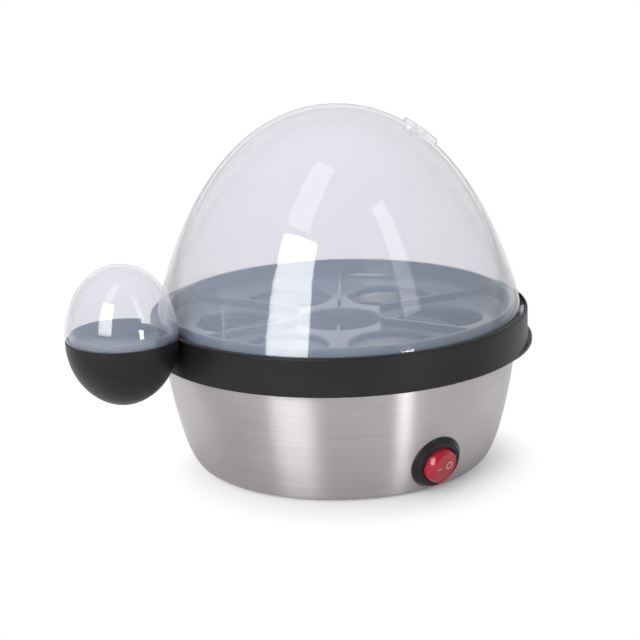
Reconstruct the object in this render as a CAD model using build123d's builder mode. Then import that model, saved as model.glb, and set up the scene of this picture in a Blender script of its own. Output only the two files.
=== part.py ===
# Electric egg cooker with a steel bowl, a lift-off egg carrier, a clear dome and a small side egg cup.
# Millimetres. Origin on the bowl's axis at the worktop, +Z up, the rocker switch faces -Y.

import os
from math import cos, pi, radians, sin, sqrt, tan

from build123d import *

os.makedirs("parts", exist_ok=True)

# Carrier ring, the black band
ring_radius = 90.0
ring_bottom = 56.0
ring_height = 18.0
ring_wall = 2.4
ring_inner_wall = 2.5
ring_edge = 0.8
ring_top_web = 2.2
shelf_thickness = 2.5
shelf_inset = 14.0
shelf_reach = ring_radius - shelf_inset
carrier_turn = 175.1

# Grip lip under the ring, opposite the side cup
lip_setback = 5.0
lip_radius = ring_radius - lip_setback
lip_reach = 3.5
lip_thickness = 1.6

# Steel bowl
bowl_rim_setback = 5.6
bowl_rim_radius = ring_radius - bowl_rim_setback
bowl_wall_drop = 47.0
bowl_wall_lean = 6.9
bowl_taper = 17.8
bowl_foot_radius = bowl_rim_radius - bowl_taper
bowl_foot_corner = 4.4
bowl_foot_gap = 0.5
bowl_foot_step = 4.0
bowl_wall = 0.8
bowl_rim_lean = 0.7
bowl_flange_width = 4.9
bowl_flange_reach = bowl_rim_radius - bowl_flange_width
bowl_foot_flange = 10.6
bowl_hole_radius = bowl_foot_radius - bowl_foot_flange

# Base cover, feet and screws
cover_margin = 5.2
cover_radius = bowl_foot_radius - cover_margin
cover_thickness = 2.0
foot_height = 1.2
foot_radius = 6.0
foot_stem_radius = 2.6
foot_barb = 0.8
foot_barb_height = 1.2
foot_inset = 9.4
foot_circle = cover_radius - foot_inset
foot_count = 4
vent_count = 12
vent_width = 3.0
vent_length = 13.0
vent_circle = 22.0
post_inset = 10.9
post_circle = cover_radius - post_inset
post_count = 4
post_radius = 5.0
post_height = 12.8
screw_radius = 1.5
screw_head_radius = 3.2
screw_head_height = 2.4
screw_head_recess = 0.4
screw_grip = 8.0
hole_clearance = 0.1
fit_clearance = 0.05

# Heating pan and what hangs under it
seal_thickness = 1.2
seal_margin = 0.5
pan_sheet = 1.0
pan_setback = 4.6
pan_flange_radius = ring_radius - pan_setback
pan_flange_width = 6.8
pan_dish_radius = pan_flange_radius - pan_flange_width
pan_corner_reach = 7.6
pan_floor_radius = pan_dish_radius - pan_corner_reach
pan_corner_rise = 4.0
pan_depth = 11.2
pillar_radius = 3.5
spreader_radius = 46.0
spreader_thickness = 4.0
element_radius = 3.25
element_circle = 37.0
element_gap_angle = 24.0
element_bend = 7.0
element_drop = 1.0
pin_radius = 1.5
pin_length = 3.0

# Push-on terminals and wires
blade_width = 4.8
blade_thickness = 0.8
blade_length = 7.0
sleeve_width = 6.4
sleeve_thickness = 3.0
sleeve_length = 9.0
sleeve_overlap = 5.5
sleeve_clearance = 0.1
wire_radius = 0.9

# Thermostat, thermal fuse and earth tab
thermostat_radius = 8.5
thermostat_height = 9.0
thermostat_plate = 1.0
thermostat_ears = 30.0
thermostat_ear_width = 9.0
thermostat_ear_hole = 11.0
thermostat_blades = 10.0
ear_screw_radius = 2.8
ear_screw_head = 2.0
fuse_radius = 2.2
fuse_length = 14.0
fuse_angle = 215.0
fuse_circle = 24.0
clip_thickness = 0.8
clip_width = 6.0
clip_ear = 7.0
tab_x = 24.0
tab_y = -14.0
tab_size = 8.0
tab_drop = 9.0

# Egg rack
rack_wall = 1.8
rack_floor = 2.0
rack_drop = 6.3
rack_rise = 3.0
rack_gap = 0.3
rack_lip_gap = 1.8
seat_spacing = 9.8
seat_margin = 14.9
seat_collar_wall = 1.5
seat_collar_depth = 1.2
seat_chamfer = 0.9
outer_seats = 6
rib_thickness = 1.2
rib_height = 3.6
rib_gap = 3.5
hook_count = 3
hook_width = 8.0
hook_thickness = 1.6
hook_nib = 0.8
hook_nib_height = 1.0
hook_gap = 0.2

# Dome
dome_setback = 3.0
dome_radius = ring_radius - dome_setback
dome_height = 97.3
dome_shoulder_in = 7.0
dome_shoulder_down = 66.4
dome_crown_reach = 56.0
dome_wall = 2.0
dome_gap = 0.4
dome_seat_depth = 2.5
dome_rim_drop = 0.4
lug_angle = 8.0
lug_reach = 1.3
lug_height = 1.6
lug_turn = -42.5
lug_spacing = 150.0
pocket_angle = 48.0
pocket_lead = 8.5
pocket_depth = 1.9
pocket_reach = 1.6
lug_lift = 0.2
hood_length = 18.0
hood_width = 20.0
hood_rise = 2.0
hood_turn = -36.0
hood_height = 157.2
vent_hole_radius = 1.25
vent_hole_pitch = 5.0

# Side egg cup and its lid
cup_radius = 25.8
cup_swell = 0.2
cup_rim_rise = 2.6
cup_depth = 30.9
cup_wall = 2.4
cup_bottom_reach = 12.4
cup_belly_rise = 12.5
cup_belly_drop = cup_depth - cup_belly_rise
cup_lip_height = 3.0
cup_lip_wall = 1.4
cup_lip_gap_angle = 86.0
pod_lid_setback = 0.5
pod_lid_radius = cup_radius - pod_lid_setback
pod_lid_height = 34.0
pod_lid_wall = 1.6
pod_lid_swell = 2.2
pod_lid_belly = 5.3
pod_lid_crown = 21.9
pod_lid_gap = 0.3
pod_clearance = 0.75

# Rocker switch
switch_height = 15.8
escutcheon_radius = 13.2
escutcheon_rise = 0.8
switch_flange_radius = 12.2
switch_flange = 1.4
switch_barrel_radius = 10.0
switch_bore_radius = 9.1
switch_depth = 12.0
switch_back = 3.0
cutout_clearance = 0.2
rocker_mouth_radius = 8.65
rocker_pivot_depth = 1.2
rocker_crown = 3.3
rocker_throw = 12.0
rocker_edge = 0.4
rocker_skirt = 4.5
rocker_wall = 1.8
rocker_pocket_top = 1.2
trunnion_radius = 1.1
trunnion_reach = 9.7
lamp_radius = 1.4
lamp_length = 9.0
contact_size = 3.0
contact_height = 1.0
switch_blade_pitch = 5.5
latch_width = 5.0
latch_reach = 0.9
latch_length = 4.0
latch_gap = 2.4

# Cord gland at the back
gland_height = 16.0
gland_bore = 3.3
gland_body_radius = 5.9
gland_flange_radius = 7.5
gland_flange = 1.6
gland_nose = 4.0
gland_depth = 10.0
nut_radius = 8.6
nut_thickness = 3.0
nut_gap = 2.0

# Terminal block
block_length = 30.0
block_width = 12.0
block_height = 11.0
block_place = 38.0
block_ways = 4
block_pitch = 7.0
block_wire_height = 4.5
block_tunnel_gap = 0.4
block_screw_radius = 1.6
fence_wall = 1.5
fence_height = 2.0
fence_gap = 0.1

# Heights and radii that follow from the sizes above
ring_top = ring_bottom + ring_height
rack_floor_top = ring_top - rack_drop
shelf_top = rack_floor_top - rack_floor
shelf_bottom = shelf_top - shelf_thickness
pan_flange_bottom = shelf_bottom - pan_sheet
bowl_top = pan_flange_bottom - seal_thickness
pan_floor_top = shelf_bottom - pan_depth
pan_floor_bottom = pan_floor_top - pan_sheet
spreader_bottom = pan_floor_bottom - spreader_thickness
cover_top = foot_height + cover_thickness
post_top = cover_top + post_height
dome_seat = ring_top - dome_seat_depth
dome_seat_radius = dome_radius + dome_gap
dome_base = ring_top - dome_rim_drop
rack_radius = dome_radius - dome_wall - rack_lip_gap
rack_bore = rack_radius + rack_gap
seat_radius = (rack_radius - seat_spacing - seat_margin) / 3
seat_circle = 2 * seat_radius + seat_spacing
rib_start = seat_radius + rib_gap
cup_rim = ring_top + cup_rim_rise
pod_distance = dome_radius + pod_lid_radius + pod_clearance
pod_x = pod_distance * cos(radians(carrier_turn))
pod_y = pod_distance * sin(radians(carrier_turn))
rack_turn = carrier_turn - 180 / outer_seats


def bowl_curve(inset):
    """Side of the bowl from the ring's level down to its foot, moved in by inset."""
    return Bezier(
        (bowl_rim_radius - inset, ring_bottom),
        (bowl_rim_radius - bowl_wall_lean - inset, ring_bottom - bowl_wall_drop + inset / 2),
        (bowl_foot_radius + bowl_foot_corner, bowl_foot_gap + inset),
        (bowl_foot_radius, bowl_foot_gap + inset),
    )


def dome_curve(outset):
    """Egg-shaped side of the dome above its straight rim, moved out by outset."""
    top = dome_base + dome_height + outset
    return Bezier(
        (dome_radius + outset, dome_base),
        (dome_radius - dome_shoulder_in + outset, top - dome_shoulder_down - outset / 2),
        (dome_crown_reach + outset / 2, top),
        (0, top),
    )


def pod_lid_curve(outset):
    """Side of the small lid, moved out by outset."""
    top = cup_rim + pod_lid_height + outset
    return Bezier(
        (pod_lid_radius + outset, cup_rim),
        (pod_lid_radius + pod_lid_swell + outset, cup_rim + pod_lid_belly),
        (pod_lid_crown + outset / 2, top),
        (0, top),
    )


def cup_curve(inset):
    """Side of the egg cup from its rim to the middle of its bottom, moved in by inset."""
    return Bezier(
        (cup_radius - inset, cup_rim),
        (cup_radius + cup_swell - inset, cup_rim - cup_belly_drop + inset / 2),
        (cup_bottom_reach - inset / 2, cup_rim - cup_depth + inset),
        (0, cup_rim - cup_depth + inset),
    )


def skin_plane(curve, height, turn):
    """Plane on the surface that a side curve sweeps, its z axis pointing out and its y axis up."""
    falling = (curve @ 0).Y > (curve @ 1).Y
    low, high = 0.0, 1.0
    for _ in range(40):
        middle = (low + high) / 2
        if ((curve @ middle).Y > height) == falling:
            low = middle
        else:
            high = middle
    point = curve @ low
    along = curve % low
    if along.Y < 0:
        along = along * -1
    out = Vector(along.Y, 0, -along.X).rotate(Axis.Z, turn)
    spot = Vector(point.X, 0, point.Y).rotate(Axis.Z, turn)
    across = Vector(0, 1, 0).rotate(Axis.Z, turn)
    return Plane(origin=spot, x_dir=across, z_dir=out)


def on_circle(radius, turns):
    """Places on a circle about the bowl's axis."""
    return [(radius * cos(radians(turn)), radius * sin(radians(turn))) for turn in turns]


def sector(radius, start, angle):
    """Points of a wedge from the centre, wide enough for a circle of the radius."""
    reach = radius / cos(radians(angle / 4))
    return [(0, 0)] + on_circle(reach, [start, start + angle / 4, start + angle / 2,
                                        start + angle * 3 / 4, start + angle])


switch_plane = skin_plane(bowl_curve(0), switch_height, -90)
gland_plane = skin_plane(bowl_curve(0), gland_height, 90)
hood_plane = skin_plane(dome_curve(0), hood_height, hood_turn)
post_places = on_circle(post_circle, [45 + 360 / post_count * step for step in range(post_count)])
foot_places = on_circle(foot_circle, [360 / foot_count * step for step in range(foot_count)])
seat_turns = [rack_turn + 360 / outer_seats * step for step in range(outer_seats)]

# The bowl's outside as a full solid, to shape what sits against the wall
with BuildPart() as bowl_outside:
    with BuildSketch(Plane.XZ):
        with BuildLine():
            side = bowl_curve(0)
            Polyline(side @ 1, (0, bowl_foot_gap), (0, ring_bottom), side @ 0)
        make_face()
    revolve(axis=Axis.Z)

# Steel bowl: one drawn sheet, with a flange at the top and a recessed flange at the bottom
with BuildPart() as bowl_shell:
    rim_out = bowl_rim_radius + bowl_rim_lean
    step_mid = bowl_foot_radius - bowl_foot_step / 2
    step_end = bowl_foot_radius - bowl_foot_step
    flange_top = cover_top + bowl_wall
    with BuildSketch(Plane.XZ):
        with BuildLine():
            outer = bowl_curve(0)
            inner = bowl_curve(bowl_wall)
            Bezier(outer @ 1, (step_mid, bowl_foot_gap), (step_mid, cover_top), (step_end, cover_top))
            Polyline(
                (step_end, cover_top),
                (bowl_hole_radius, cover_top),
                (bowl_hole_radius, flange_top),
                (step_end, flange_top),
            )
            Bezier(
                (step_end, flange_top),
                (step_mid + bowl_wall, flange_top),
                (step_mid + bowl_wall, bowl_foot_gap + bowl_wall),
                inner @ 1,
            )
            Polyline(
                inner @ 0,
                (rim_out - bowl_wall, bowl_top - bowl_wall),
                (bowl_flange_reach, bowl_top - bowl_wall),
                (bowl_flange_reach, bowl_top),
                (rim_out, bowl_top),
                outer @ 0,
            )
        make_face()
    revolve(axis=Axis.Z)
    with BuildSketch(switch_plane.offset(-switch_depth)):
        Circle(switch_barrel_radius + cutout_clearance)
    extrude(amount=2 * switch_depth, mode=Mode.SUBTRACT)
    with BuildSketch(gland_plane.offset(-gland_depth)):
        Circle(gland_body_radius + cutout_clearance)
    extrude(amount=2 * gland_depth, mode=Mode.SUBTRACT)
bowl_shell.part.label = "bowl_shell"

# Base cover: a plastic disc in the bowl's recess, with moulded posts, vents and screw holes
with BuildPart() as base_cover:
    fence_length = block_length + 2 * fence_gap
    fence_width = block_width + 2 * fence_gap
    with BuildSketch(Plane.XY.offset(foot_height)):
        Circle(cover_radius)
        with PolarLocations(vent_circle, vent_count, start_angle=180 / vent_count):
            SlotOverall(vent_length, vent_width, mode=Mode.SUBTRACT)
        with Locations(*foot_places):
            Circle(foot_stem_radius + fit_clearance, mode=Mode.SUBTRACT)
    extrude(amount=cover_thickness)
    chamfer(base_cover.edges().group_by(Axis.Z)[0].sort_by(SortBy.LENGTH)[-1], length=0.6)
    with BuildSketch(Plane.XY.offset(cover_top)):
        with Locations(*post_places):
            Circle(post_radius)
    extrude(amount=post_height)
    with BuildSketch(Plane.XY.offset(cover_top)):
        with Locations((0, block_place)):
            Rectangle(fence_length + 2 * fence_wall, fence_width + 2 * fence_wall)
            Rectangle(fence_length, fence_width, mode=Mode.SUBTRACT)
    extrude(amount=fence_height)
    with BuildSketch(Plane.XY.offset(foot_height)):
        with Locations(*post_places):
            Circle(screw_radius + hole_clearance)
    extrude(amount=cover_thickness + post_height, mode=Mode.SUBTRACT)
    with BuildSketch(Plane.XY.offset(foot_height)):
        with Locations(*post_places):
            Circle(screw_head_radius + hole_clearance)
    extrude(amount=screw_head_recess + screw_head_height, mode=Mode.SUBTRACT)
base_cover.part.label = "base_cover"

# Rubber feet with stems pushed through the cover and barbs above it
with BuildPart() as rubber_feet:
    with BuildSketch(Plane.XY):
        with Locations(*foot_places):
            Circle(foot_radius)
    extrude(amount=foot_height)
    chamfer(rubber_feet.edges().group_by(Axis.Z)[0], length=foot_height / 3)
    with BuildSketch(Plane.XY.offset(foot_height)):
        with Locations(*foot_places):
            Circle(foot_stem_radius)
    extrude(amount=cover_thickness)
    with BuildSketch(Plane.XY.offset(cover_top)):
        with Locations(*foot_places):
            Circle(foot_stem_radius + foot_barb)
    extrude(amount=foot_barb_height, taper=20)
rubber_feet.part.label = "rubber_feet"

# Pillars welded under the pan, tapped for the base screws
with BuildPart() as pan_pillars:
    with BuildSketch(Plane.XY.offset(post_top)):
        with Locations(*post_places):
            Circle(pillar_radius)
    extrude(amount=pan_floor_bottom - post_top)
    with BuildSketch(Plane.XY.offset(post_top)):
        with Locations(*post_places):
            Circle(screw_radius + fit_clearance)
    extrude(amount=screw_grip + 2 * screw_radius, mode=Mode.SUBTRACT)
pan_pillars.part.label = "pan_pillars"

# Screws that draw the cover and the pan together on the bowl
with BuildPart() as base_screws:
    head_bottom = foot_height + screw_head_recess
    with BuildSketch(Plane.XY.offset(head_bottom)):
        with Locations(*post_places):
            Circle(screw_head_radius)
    extrude(amount=screw_head_height)
    with BuildSketch(Plane.XY.offset(head_bottom)):
        with Locations(*post_places):
            Rectangle(1.2 * screw_head_radius, 0.26 * screw_head_radius)
            Rectangle(0.26 * screw_head_radius, 1.2 * screw_head_radius)
    extrude(amount=screw_head_height / 2, mode=Mode.SUBTRACT)
    with BuildSketch(Plane.XY.offset(head_bottom + screw_head_height)):
        with Locations(*post_places):
            Circle(screw_radius)
    extrude(amount=post_top + screw_grip - head_bottom - screw_head_height)
base_screws.part.label = "base_screws"

# Silicone seal between the bowl's top flange and the pan's flange
with BuildPart() as pan_seal:
    with BuildSketch(Plane.XY.offset(bowl_top)):
        Circle(pan_flange_radius - seal_margin)
        Circle(bowl_flange_reach + seal_margin, mode=Mode.SUBTRACT)
    extrude(amount=seal_thickness)
pan_seal.part.label = "pan_seal"

# Heating pan: a shallow drawn dish with a flange
with BuildPart() as heating_pan:
    dish_inside = pan_dish_radius - pan_sheet
    with BuildSketch(Plane.XZ):
        with BuildLine():
            Polyline(
                (0, pan_floor_bottom),
                (pan_floor_radius, pan_floor_bottom),
                (pan_dish_radius, pan_floor_bottom + pan_corner_rise),
                (pan_dish_radius, pan_flange_bottom),
                (pan_flange_radius, pan_flange_bottom),
                (pan_flange_radius, shelf_bottom),
                (dish_inside, shelf_bottom),
                (dish_inside, pan_floor_top + pan_corner_rise - pan_sheet / 2),
                (pan_floor_radius - pan_sheet / 2, pan_floor_top),
                (0, pan_floor_top),
                close=True,
            )
        make_face()
    revolve(axis=Axis.Z)
heating_pan.part.label = "heating_pan"

# Aluminium plate that spreads the element's heat
with BuildPart() as heat_spreader:
    with BuildSketch(Plane.XY.offset(spreader_bottom)):
        Circle(spreader_radius)
    extrude(amount=spreader_thickness)
    chamfer(heat_spreader.edges().group_by(Axis.Z)[0], length=1.0)
heat_spreader.part.label = "heat_spreader"

# Tubular element: an open ring brazed under the plate, both ends turned down
element_z = spreader_bottom - element_radius
end_turn = 90 - element_gap_angle
ring_end_x = element_circle * cos(radians(end_turn))
ring_end_y = element_circle * sin(radians(end_turn))
end_x = ring_end_x - element_bend * sin(radians(end_turn))
end_y = ring_end_y + element_bend * cos(radians(end_turn))
bend_z = element_z - element_bend
end_z = bend_z - element_drop
with BuildPart() as heating_element:
    with BuildLine() as element_path:
        right_drop = Line((end_x, end_y, end_z), (end_x, end_y, bend_z))
        right_bend = TangentArc(right_drop @ 1, (ring_end_x, ring_end_y, element_z), tangent=right_drop % 1)
        around = ThreePointArc(
            right_bend @ 1, (0, -element_circle, element_z), (-ring_end_x, ring_end_y, element_z)
        )
        left_bend = TangentArc(around @ 1, (-end_x, end_y, bend_z), tangent=around % 1)
        Line(left_bend @ 1, (-end_x, end_y, end_z))
    with BuildSketch(Plane(origin=(end_x, end_y, end_z), z_dir=(0, 0, 1))):
        Circle(element_radius)
    sweep()
heating_element.part.label = "heating_element"

# Contact pins of the element, each with a flat blade
with BuildPart() as element_pins:
    with BuildSketch(Plane.XY.offset(end_z)):
        with Locations((end_x, end_y), (-end_x, end_y)):
            Circle(pin_radius)
    extrude(amount=-pin_length)
    with BuildSketch(Plane.XY.offset(end_z - pin_length)):
        with Locations((end_x, end_y), (-end_x, end_y)):
            Rectangle(blade_width, blade_thickness)
    extrude(amount=-blade_length)
element_pins.part.label = "element_pins"

# Thermostat against the middle of the plate: a flanged disc with two blades
thermostat_top = spreader_bottom - thermostat_plate
thermostat_bottom = thermostat_top - thermostat_height
with BuildPart() as thermostat:
    with BuildSketch(Plane.XY.offset(thermostat_top)):
        SlotOverall(thermostat_ears, thermostat_ear_width)
        Circle(thermostat_radius)
        with Locations((thermostat_ear_hole, 0), (-thermostat_ear_hole, 0)):
            Circle(screw_radius + hole_clearance, mode=Mode.SUBTRACT)
    extrude(amount=thermostat_plate)
    with BuildSketch(Plane.XY.offset(thermostat_bottom)):
        Circle(thermostat_ear_hole - ear_screw_radius - hole_clearance)
    extrude(amount=thermostat_height)
    with BuildSketch(Plane.XY.offset(thermostat_bottom)):
        with Locations((0, thermostat_blades / 2), (0, -thermostat_blades / 2)):
            Rectangle(blade_width, blade_thickness)
    extrude(amount=-blade_length)
thermostat.part.label = "thermostat"

# Two screws that hold the thermostat's ears to the plate
with BuildPart() as thermostat_screws:
    with BuildSketch(Plane.XY.offset(thermostat_top)):
        with Locations((thermostat_ear_hole, 0), (-thermostat_ear_hole, 0)):
            Circle(ear_screw_radius)
    extrude(amount=-ear_screw_head)
    chamfer(thermostat_screws.edges().group_by(Axis.Z)[0], length=ear_screw_head / 4)
    with BuildSketch(Plane.XY.offset(thermostat_top)):
        with Locations((thermostat_ear_hole, 0), (-thermostat_ear_hole, 0)):
            Circle(screw_radius)
    extrude(amount=thermostat_plate)
thermostat_screws.part.label = "thermostat_screws"

# Thermal fuse in its sleeve, lying under the plate
fuse_turn = radians(fuse_angle)
fuse_section = Plane(
    origin=(fuse_circle * cos(fuse_turn), fuse_circle * sin(fuse_turn), spreader_bottom - fuse_radius),
    x_dir=(cos(fuse_turn), sin(fuse_turn), 0),
    z_dir=(sin(fuse_turn), -cos(fuse_turn), 0),
)
with BuildPart() as thermal_fuse:
    with BuildSketch(fuse_section):
        Circle(fuse_radius)
    extrude(amount=fuse_length / 2, both=True)
    chamfer(thermal_fuse.edges().filter_by(GeomType.CIRCLE), length=fuse_radius / 4)
thermal_fuse.part.label = "thermal_fuse"

# Steel clip that wraps the fuse, its ear flat against the plate
with BuildPart() as fuse_clip:
    clip_reach = fuse_radius + clip_thickness
    with BuildSketch(fuse_section):
        Circle(clip_reach)
        with Locations((0, fuse_radius / 2)):
            Rectangle(2 * clip_reach, fuse_radius)
        with Locations((0, fuse_radius + clip_thickness / 2)):
            Rectangle(2 * clip_reach, clip_thickness, mode=Mode.SUBTRACT)
        Circle(fuse_radius + fit_clearance, mode=Mode.SUBTRACT)
        with Locations((0, fuse_radius / 2)):
            Rectangle(2 * (fuse_radius + fit_clearance), fuse_radius, mode=Mode.SUBTRACT)
        with Locations((fuse_radius + clip_ear / 2, fuse_radius - clip_thickness / 2)):
            Rectangle(clip_ear, clip_thickness)
    extrude(amount=clip_width / 2, both=True)
fuse_clip.part.label = "fuse_clip"

# Earth tab screwed under the plate, with a blade turned down
tab_blade_x = tab_x - tab_size / 2 + blade_thickness / 2
tab_plate_bottom = spreader_bottom - blade_thickness
with BuildPart() as earth_tab:
    with BuildSketch(Plane.XY.offset(tab_plate_bottom)):
        with Locations((tab_x, tab_y)):
            Rectangle(tab_size, tab_size)
            Circle(screw_radius + hole_clearance, mode=Mode.SUBTRACT)
    extrude(amount=blade_thickness)
    with BuildSketch(Plane.XY.offset(tab_plate_bottom)):
        with Locations((tab_blade_x, tab_y)):
            Rectangle(blade_thickness, blade_width)
    extrude(amount=-tab_drop)
earth_tab.part.label = "earth_tab"

# Screw of the earth tab
with BuildPart() as earth_screw:
    with BuildSketch(Plane.XY.offset(tab_plate_bottom)):
        with Locations((tab_x, tab_y)):
            Circle(ear_screw_radius)
    extrude(amount=-ear_screw_head)
    chamfer(earth_screw.edges().group_by(Axis.Z)[0], length=ear_screw_head / 4)
    with BuildSketch(Plane.XY.offset(tab_plate_bottom)):
        with Locations((tab_x, tab_y)):
            Circle(screw_radius)
    extrude(amount=blade_thickness)
earth_screw.part.label = "earth_screw"

# Escutcheon ring that takes up the curve of the wall under the switch
bezel_face = escutcheon_rise + switch_flange
switch_axis = Axis(switch_plane.origin, switch_plane.z_dir)
blade_shifts = [-switch_blade_pitch, 0, switch_blade_pitch]
with BuildPart() as switch_escutcheon:
    with BuildSketch(switch_plane.offset(-escutcheon_radius / 3)):
        Circle(escutcheon_radius)
        Circle(switch_barrel_radius + cutout_clearance, mode=Mode.SUBTRACT)
    extrude(amount=escutcheon_radius / 3 + escutcheon_rise)
    face_edges = switch_escutcheon.edges().sort_by(switch_axis)[-2:]
    chamfer(face_edges.sort_by(SortBy.LENGTH)[-1], length=0.9)
    add(bowl_outside.part, mode=Mode.SUBTRACT)
switch_escutcheon.part.label = "switch_escutcheon"

# Switch housing: flange, barrel with a round mouth, closed back and two latches behind the wall
with BuildPart() as switch_housing:
    with BuildSketch(switch_plane.offset(-switch_depth)):
        Circle(switch_barrel_radius)
    extrude(amount=switch_depth + escutcheon_rise)
    with BuildSketch(switch_plane.offset(escutcheon_rise)):
        Circle(switch_flange_radius)
    extrude(amount=switch_flange)
    chamfer(switch_housing.edges().sort_by(switch_axis)[-1], length=1.0)
    with BuildSketch(switch_plane.offset(bezel_face)):
        Circle(switch_bore_radius)
    extrude(amount=switch_back - switch_depth - bezel_face, mode=Mode.SUBTRACT)
    latch_place = switch_barrel_radius + latch_reach / 2 - 0.5
    with BuildSketch(switch_plane.offset(-latch_gap)):
        with Locations((latch_place, 0), (-latch_place, 0)):
            Rectangle(latch_reach + 1.0, latch_width)
    extrude(amount=-latch_length)
    with BuildSketch(Plane(origin=switch_plane.from_local_coords((0, 0, bezel_face - rocker_pivot_depth)),
                           x_dir=switch_plane.x_dir, z_dir=switch_plane.y_dir)):
        Circle(trunnion_radius + fit_clearance)
    extrude(amount=switch_barrel_radius, both=True, mode=Mode.SUBTRACT)
    with BuildSketch(switch_plane.offset(switch_back - switch_depth)):
        with Locations(*[(shift, 0) for shift in blade_shifts]):
            Rectangle(blade_thickness, blade_width)
    extrude(amount=-switch_back, mode=Mode.SUBTRACT)
switch_housing.part.label = "switch_housing"

# Three blades through the switch's back, each with a contact inside
with BuildPart() as switch_terminals:
    with BuildSketch(switch_plane.offset(switch_back - switch_depth)):
        with Locations(*[(shift, 0) for shift in blade_shifts]):
            Rectangle(contact_size, contact_size)
    extrude(amount=contact_height)
    with BuildSketch(switch_plane.offset(switch_back - switch_depth)):
        with Locations(*[(shift, 0) for shift in blade_shifts]):
            Rectangle(blade_thickness, blade_width)
    extrude(amount=-switch_back - blade_length)
switch_terminals.part.label = "switch_terminals"

# Neon lamp across the bottom of the housing, beside the contacts
lamp_seat = switch_back - switch_depth + lamp_radius
lamp_shift = contact_size / 2 + lamp_radius + 1.5
lamp_plane = Plane(
    origin=switch_plane.from_local_coords((0, -lamp_shift, lamp_seat)),
    x_dir=switch_plane.z_dir,
    z_dir=switch_plane.x_dir,
)
with BuildPart() as neon_lamp:
    with BuildSketch(lamp_plane):
        Circle(lamp_radius)
    extrude(amount=lamp_length / 2, both=True)
    fillet(neon_lamp.edges().filter_by(GeomType.CIRCLE), radius=lamp_radius / 2)
neon_lamp.part.label = "neon_lamp"

# Rocker: a ball-sided cap with a flat face and two trunnions, at rest with its right side in
pivot_height = bezel_face - rocker_pivot_depth
rocker_ball = sqrt(rocker_mouth_radius**2 + rocker_pivot_depth**2)
crown = rocker_pivot_depth + rocker_crown
rocker_reach = rocker_ball + 1.0
rest_turn = radians(rocker_throw)
rocker_plane = Plane(
    origin=switch_plane.from_local_coords((0, 0, pivot_height)),
    x_dir=switch_plane.x_dir * cos(rest_turn) - switch_plane.z_dir * sin(rest_turn),
    z_dir=switch_plane.x_dir * sin(rest_turn) + switch_plane.z_dir * cos(rest_turn),
)
with BuildPart() as rocker:
    with BuildSketch(rocker_plane.offset(-rocker_skirt)):
        Circle(rocker_reach)
    extrude(amount=rocker_skirt + crown)
    with Locations(rocker_plane.location):
        Sphere(rocker_ball, mode=Mode.INTERSECT)
    face_edge = rocker.edges().sort_by(Axis(rocker_plane.origin, rocker_plane.z_dir))[-1]
    fillet(face_edge, radius=rocker_edge)
    with BuildSketch(rocker_plane.offset(-rocker_skirt)):
        Circle(rocker_ball - rocker_wall - 1.0)
    extrude(amount=rocker_skirt + rocker_pocket_top, mode=Mode.SUBTRACT)
    with BuildSketch(Plane(origin=rocker_plane.origin, x_dir=rocker_plane.x_dir, z_dir=rocker_plane.y_dir)):
        Circle(trunnion_radius)
    extrude(amount=trunnion_reach, both=True)
rocker.part.label = "rocker"

# Cord gland in the back wall: flange outside, short nose, threaded body inside
with BuildPart() as cord_gland:
    with BuildSketch(gland_plane.offset(-gland_flange)):
        Circle(gland_flange_radius)
    extrude(amount=2 * gland_flange)
    add(bowl_outside.part, mode=Mode.SUBTRACT)
    with BuildSketch(gland_plane.offset(-gland_depth)):
        Circle(gland_body_radius)
    extrude(amount=gland_depth + gland_flange)
    with BuildSketch(gland_plane.offset(gland_flange)):
        Circle(gland_body_radius)
    extrude(amount=gland_nose, taper=12)
    with BuildSketch(gland_plane.offset(gland_flange + gland_nose)):
        Circle(gland_bore)
    extrude(amount=-gland_nose - gland_flange - gland_depth, mode=Mode.SUBTRACT)
cord_gland.part.label = "cord_gland"

# Hexagon nut that holds the gland from inside
with BuildPart() as gland_nut:
    with BuildSketch(gland_plane.offset(-nut_gap)):
        RegularPolygon(radius=nut_radius, side_count=6)
        Circle(gland_body_radius + fit_clearance, mode=Mode.SUBTRACT)
    extrude(amount=-nut_thickness)
gland_nut.part.label = "gland_nut"

# Terminal block between the cord and the wires, its ways running front to back
way_places = [(way - (block_ways - 1) / 2) * block_pitch for way in range(block_ways)]
way_height = cover_top + block_wire_height
block_top = cover_top + block_height
screw_rows = (block_place - block_width / 4, block_place + block_width / 4)
block_screw_places = [(way, row) for way in way_places for row in screw_rows]
with BuildPart() as terminal_block:
    with BuildSketch(Plane.XY.offset(cover_top)):
        with Locations((0, block_place)):
            Rectangle(block_length, block_width)
    extrude(amount=block_height)
    chamfer(terminal_block.edges().group_by(Axis.Z)[-1], length=0.8)
    with BuildSketch(Plane.XZ.offset(-block_place)):
        with Locations(*[(way, way_height) for way in way_places]):
            Circle(wire_radius + block_tunnel_gap)
    extrude(amount=block_width / 2, both=True, mode=Mode.SUBTRACT)
    with BuildSketch(Plane.XY.offset(block_top)):
        with Locations(*block_screw_places):
            Circle(block_screw_radius + fit_clearance)
    extrude(amount=way_height - block_top, mode=Mode.SUBTRACT)
terminal_block.part.label = "terminal_block"

# Brass screws of the terminal block
with BuildPart() as terminal_screws:
    screw_top = block_top - 1.0
    with BuildSketch(Plane.XY.offset(screw_top)):
        with Locations(*block_screw_places):
            Circle(block_screw_radius)
            Rectangle(2 * block_screw_radius, 0.6, mode=Mode.SUBTRACT)
    extrude(amount=-0.8)
    with BuildSketch(Plane.XY.offset(screw_top - 0.8)):
        with Locations(*block_screw_places):
            Circle(block_screw_radius)
    extrude(amount=way_height + wire_radius + block_tunnel_gap - screw_top + 0.8)
terminal_screws.part.label = "terminal_screws"

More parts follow.
